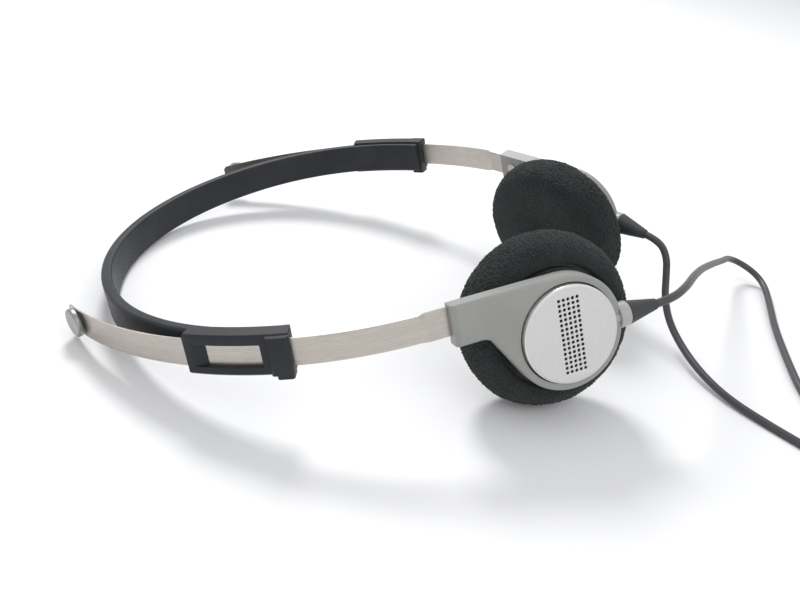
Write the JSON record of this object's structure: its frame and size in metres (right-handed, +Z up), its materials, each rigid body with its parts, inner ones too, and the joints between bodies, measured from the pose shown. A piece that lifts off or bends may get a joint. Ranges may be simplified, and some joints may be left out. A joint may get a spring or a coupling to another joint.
{
  "type": "headphones",
  "caption": "Lightweight on-ear wired stereo headphones: thin plastic headband, sliding curved steel bands, tilting earpieces with foam pads, twin cord with yoke and plug.",
  "frame": {"origin": "on the table plane, below the middle of the headphones' box without the cord", "axes": "+Z up from the table, +X from the headband's crown towards the ear pads, +Y towards the left ear"},
  "size_m": [0.3211, 0.1855, 0.05],
  "materials": {
    "headband_plastic": "satin moulded",
    "spring_steel": "fine lengthwise scratches",
    "bright_metal": "satin",
    "arm_plastic": "satin moulded",
    "silver_plastic": "semi-gloss",
    "boot_rubber": "matte",
    "cap_aluminium": "satin with rolled bright edge",
    "black_plastic": "matte",
    "black_felt": "felt",
    "screw_steel": "plain",
    "driver_metal": "plated",
    "magnet": "sintered",
    "copper": "enamelled wire",
    "film": "clear film",
    "board": "laminate",
    "foam": "open-cell foam",
    "cord_sheath": "satin",
    "tie": "plain",
    "plug_metal": "polished nickel"
  },
  "bodies": {
    "headband": {"headband": "headband_plastic", "slide_spring_left": "spring_steel", "slide_spring_right": "spring_steel", "cord_right": "cord_sheath", "cord_left": "cord_sheath", "cord_yoke": "boot_rubber", "cord_main": "cord_sheath", "cord_coil": "cord_sheath", "cord_tail": "cord_sheath", "cord_tie": "tie", "plug_grip": "boot_rubber", "plug_sleeve": "plug_metal", "plug_ring": "plug_metal", "plug_tip": "plug_metal", "plug_insulators": "black_plastic"},
    "slider_left": {"slider_band_left": "spring_steel", "stop_knob_left": "bright_metal", "arm_left": "arm_plastic", "arm_rivet_left": "spring_steel", "cable_bush_left": "silver_plastic", "strain_relief_left": "boot_rubber"},
    "cup_left": {"cap_left": "cap_aluminium", "hub_left": "black_plastic", "damping_felt_left": "black_felt", "driver_shell_left": "black_plastic", "hub_screws_left": "screw_steel", "baffle_left": "black_plastic", "basket_left": "driver_metal", "yoke_cup_left": "driver_metal", "magnet_left": "magnet", "pole_plate_left": "driver_metal", "voice_coil_left": "copper", "diaphragm_left": "film", "terminal_board_left": "board", "ear_pad_left": "foam"},
    "slider_right": {"slider_band_right": "spring_steel", "stop_knob_right": "bright_metal", "arm_right": "arm_plastic", "arm_rivet_right": "spring_steel", "cable_bush_right": "silver_plastic", "strain_relief_right": "boot_rubber"},
    "cup_right": {"cap_right": "cap_aluminium", "hub_right": "black_plastic", "damping_felt_right": "black_felt", "driver_shell_right": "black_plastic", "hub_screws_right": "screw_steel", "baffle_right": "black_plastic", "basket_right": "driver_metal", "yoke_cup_right": "driver_metal", "magnet_right": "magnet", "pole_plate_right": "driver_metal", "voice_coil_right": "copper", "diaphragm_right": "film", "terminal_board_right": "board", "ear_pad_right": "foam"}
  },
  "joints": [
    {"name": "slide_left", "type": "hinge", "parent": "headband", "child": "slider_left", "pos_m": [-0.02071, -0.01543, 0.02047], "axis": [0.2368, 0.0364, -0.9709], "range_deg": [-17.7, 9.7], "deforming": ["cord_left"]},
    {"name": "tilt_left", "type": "hinge", "parent": "slider_left", "child": "cup_left", "pos_m": [0.05975, 0.04473, 0.02838], "axis": [0.8245, -0.5534, 0.1183], "range_deg": [-4, 4]},
    {"name": "slide_right", "type": "hinge", "parent": "headband", "child": "slider_right", "pos_m": [-0.02071, 0.01543, 0.02163], "axis": [-0.2368, -0.0364, 0.9709], "range_deg": [-19.9, 9.7], "deforming": ["cord_right"]},
    {"name": "tilt_right", "type": "hinge", "parent": "slider_right", "child": "cup_right", "pos_m": [0.06258, -0.04235, 0.02797], "axis": [0.8035, 0.5544, 0.2168], "range_deg": [-4, 4]}
  ]
}
